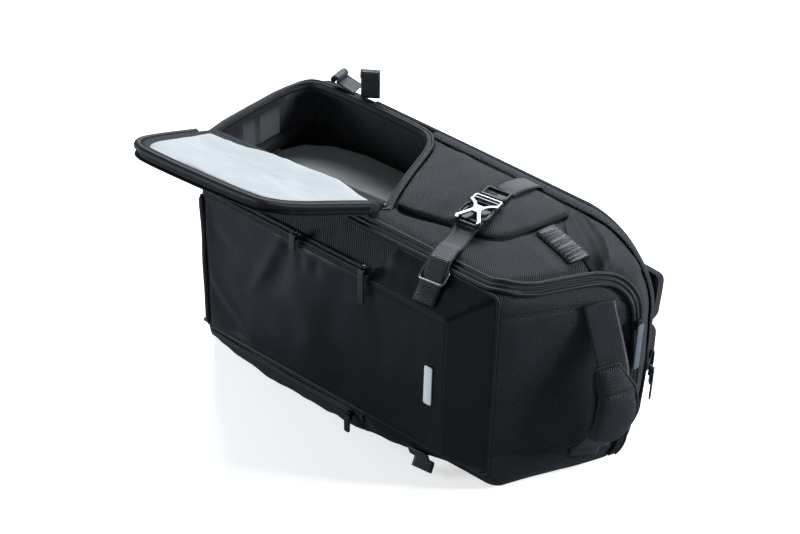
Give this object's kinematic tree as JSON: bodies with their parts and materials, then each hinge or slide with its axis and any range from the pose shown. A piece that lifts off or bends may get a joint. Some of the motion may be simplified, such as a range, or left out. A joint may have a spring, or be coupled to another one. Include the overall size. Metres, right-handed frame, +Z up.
{
  "type": "camera backpack",
  "caption": "Camera backpack lying on its side with the side access flap folded open over a padded camera compartment, faceted front pocket, buckled side strap and grab handle.",
  "frame": {"origin": "middle of the bounding box's lower side, where the pack lies on the floor", "axes": "+X from the base of the pack to its top end, +Y from the front pocket to the padded back, +Z up, across the pack's width"},
  "size_m": [0.5342, 0.3384, 0.3419],
  "materials": {
    "twill_fabric": "matte woven twill, near black",
    "coated_fabric": "smooth coated cloth with a soft bluish sheen",
    "light_lining": "brushed light grey lining",
    "dark_lining": "matte dark grey lining",
    "zip_tape": "woven zip tape with piping, near black",
    "webbing": "ribbed webbing with a satin sheen",
    "elastic": "gathered elastic cloth",
    "mesh_fabric": "matte air mesh",
    "silver_metal": "satin silver",
    "black_plastic": "satin black",
    "slider_metal": "satin black",
    "pull_rubber": "matte moulded",
    "name_plate": "bare satin plate"
  },
  "bodies": {
    "root": {"back_slider_lower": "slider_metal", "back_slider_upper": "slider_metal", "back_tab_lower": "pull_rubber", "back_tab_upper": "pull_rubber", "back_zip_band": "zip_tape", "base_ledge": "dark_lining", "base_tab": "webbing", "body_shell": "twill_fabric", "buckle_cover": "silver_metal", "buckle_plug": "black_plastic", "buckle_socket": "black_plastic", "compartment_wall": "dark_lining", "flap_hinge": "twill_fabric", "flap_lining": "light_lining", "flap_shell": "twill_fabric", "flap_zip_lip": "zip_tape", "front_pocket": "coated_fabric", "handle_grip": "twill_fabric", "handle_webbing": "webbing", "label_plate": "name_plate", "ladder_lock_lower": "black_plastic", "ladder_lock_upper": "black_plastic", "lower_side_strap": "webbing", "lumbar_pad": "mesh_fabric", "main_slider": "slider_metal", "main_tab": "pull_rubber", "main_zip_band": "zip_tape", "mouth_zip_tape": "zip_tape", "padded_shelf": "light_lining", "pocket_gusset": "twill_fabric", "pocket_slider_lower": "slider_metal", "pocket_slider_middle": "slider_metal", "pocket_slider_upper": "slider_metal", "pocket_tab_lower": "pull_rubber", "pocket_tab_middle": "pull_rubber", "pocket_tab_upper": "pull_rubber", "pocket_zip_lower": "zip_tape", "pocket_zip_upper": "zip_tape", "shoulder_pad": "mesh_fabric", "shoulder_strap_lower": "mesh_fabric", "shoulder_strap_upper": "mesh_fabric", "side_elastic": "elastic", "side_panel": "twill_fabric", "side_strap": "webbing", "strap_anchor": "webbing", "strap_ring": "silver_metal", "strap_webbing_lower": "webbing", "strap_webbing_upper": "webbing", "strap_yoke": "twill_fabric", "stretch_panel": "mesh_fabric", "tail_loop_lower": "webbing", "tail_loop_upper": "webbing"}
  },
  "joints": []
}
